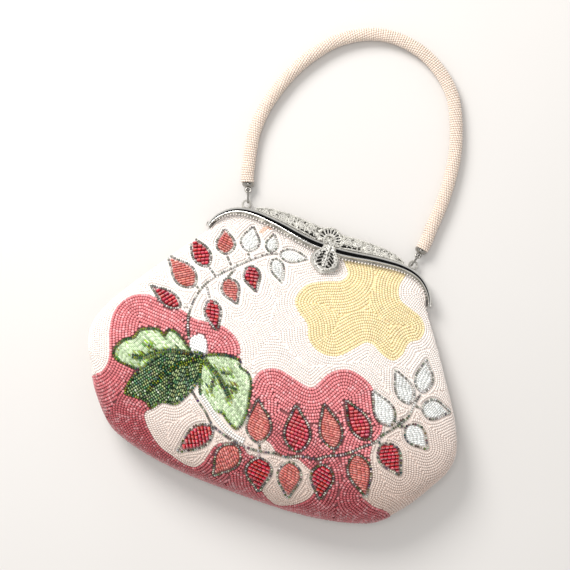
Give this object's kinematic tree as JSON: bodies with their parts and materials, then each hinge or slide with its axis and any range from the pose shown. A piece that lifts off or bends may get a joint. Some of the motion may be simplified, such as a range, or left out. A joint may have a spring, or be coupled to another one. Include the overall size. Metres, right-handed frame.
{
  "type": "beaded evening bag",
  "caption": "Beaded cloth evening bag lying on its back, with a curved metal frame, a pierced crest, a leaf clasp lever and a beaded rope handle.",
  "frame": {"origin": "middle of the pouch's flat back, on the surface that the bag lies on", "axes": "+Y from the pouch to the handle, +X to the right with the front facing up, +Z out of the bag's front"},
  "size_m": [0.2284, 0.2902, 0.042],
  "materials": {
    "beadwork": "rows of glossy glass seed beads sewn on cloth",
    "silver_metal": "polished nickel plate",
    "filigree_metal": "cast and pierced nickel plate with darkened hollows",
    "rope_beads": "spiral rows of seed beads over a cord"
  },
  "bodies": {
    "bag": {"pouch": "beadwork", "frame_front": "silver_metal", "frame_back": "silver_metal", "crest": "filigree_metal", "clasp_plate": "silver_metal", "clasp_pin": "silver_metal", "hinge_rivet_left": "silver_metal", "hinge_rivet_right": "silver_metal", "link_left": "silver_metal", "link_right": "silver_metal", "end_cap_left": "silver_metal", "end_cap_right": "silver_metal", "handle_rope": "rope_beads"},
    "clasp_lever": {"clasp_leaf": "filigree_metal"}
  },
  "joints": [
    {"name": "clasp_lift", "type": "hinge", "parent": "bag", "child": "clasp_lever", "pos_m": [0.0024, 0.08474, 0.0137], "axis": [-1, 0, 0], "range_deg": [0, 50]}
  ]
}
